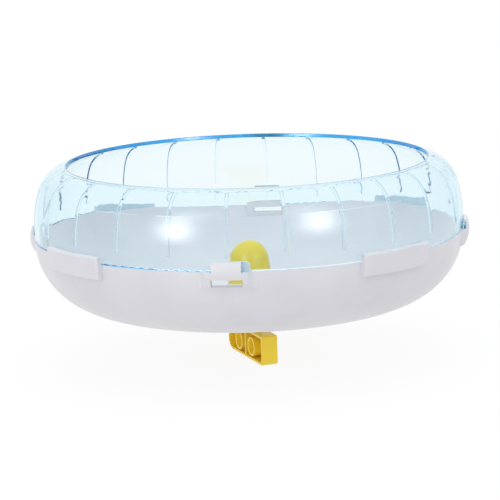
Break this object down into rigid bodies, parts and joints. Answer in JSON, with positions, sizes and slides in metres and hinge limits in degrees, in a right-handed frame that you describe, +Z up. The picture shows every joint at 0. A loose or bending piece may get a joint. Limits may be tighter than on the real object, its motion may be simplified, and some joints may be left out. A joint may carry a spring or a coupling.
{
  "type": "hamster exercise wheel",
  "caption": "Round hamster wheel lying mouth up: a white bowl and a clear blue ribbed ring clipped together, turning on a bearing hub above a yellow mounting bar.",
  "frame": {"origin": "centre of the mounting bar's foot face, on the wheel's axis", "axes": "+Z up along the wheel's axis towards its open mouth, Y along the mounting bar with its large rounded corner at +Y, -X towards the bar's open side"},
  "size_m": [0.2128, 0.2128, 0.0986],
  "materials": {
    "white_plastic": "moulded gloss",
    "clear_blue_plastic": "clear tinted gloss",
    "yellow_plastic": "moulded satin gloss",
    "zinc_steel": "zinc plated",
    "bearing_steel": "ground and polished"
  },
  "bodies": {
    "mount": {"mounting_bar": "yellow_plastic", "axle_screw": "zinc_steel", "axle_washer": "zinc_steel", "bearing_shim": "zinc_steel", "bearing_spacer": "zinc_steel", "lower_inner_ring": "bearing_steel", "upper_inner_ring": "bearing_steel"},
    "wheel": {"wheel_bowl": "white_plastic", "clear_ring": "clear_blue_plastic", "hub_cap": "yellow_plastic", "lower_outer_ring": "bearing_steel", "lower_bottom_shield": "zinc_steel", "lower_top_shield": "zinc_steel", "upper_outer_ring": "bearing_steel", "upper_bottom_shield": "zinc_steel", "upper_top_shield": "zinc_steel"},
    "lower_ball_set": {"lower_balls": "bearing_steel", "lower_ball_cage": "zinc_steel"},
    "upper_ball_set": {"upper_balls": "bearing_steel", "upper_ball_cage": "zinc_steel"}
  },
  "joints": [
    {"name": "wheel_spin", "type": "hinge", "parent": "mount", "child": "wheel", "pos_m": [0, 0, 0.0636], "axis": [0, 0, 1], "continuous": true},
    {"name": "lower_ball_set_spin", "type": "hinge", "parent": "mount", "child": "lower_ball_set", "pos_m": [0, 0, 0.0314], "axis": [0, 0, 1], "continuous": true},
    {"name": "upper_ball_set_spin", "type": "hinge", "parent": "mount", "child": "upper_ball_set", "pos_m": [0, 0, 0.0445], "axis": [0, 0, 1], "continuous": true}
  ],
  "couplings": [
    {"joint": "lower_ball_set_spin", "follows": "wheel_spin", "ratio": 0.63222},
    {"joint": "upper_ball_set_spin", "follows": "wheel_spin", "ratio": 0.63222}
  ]
}
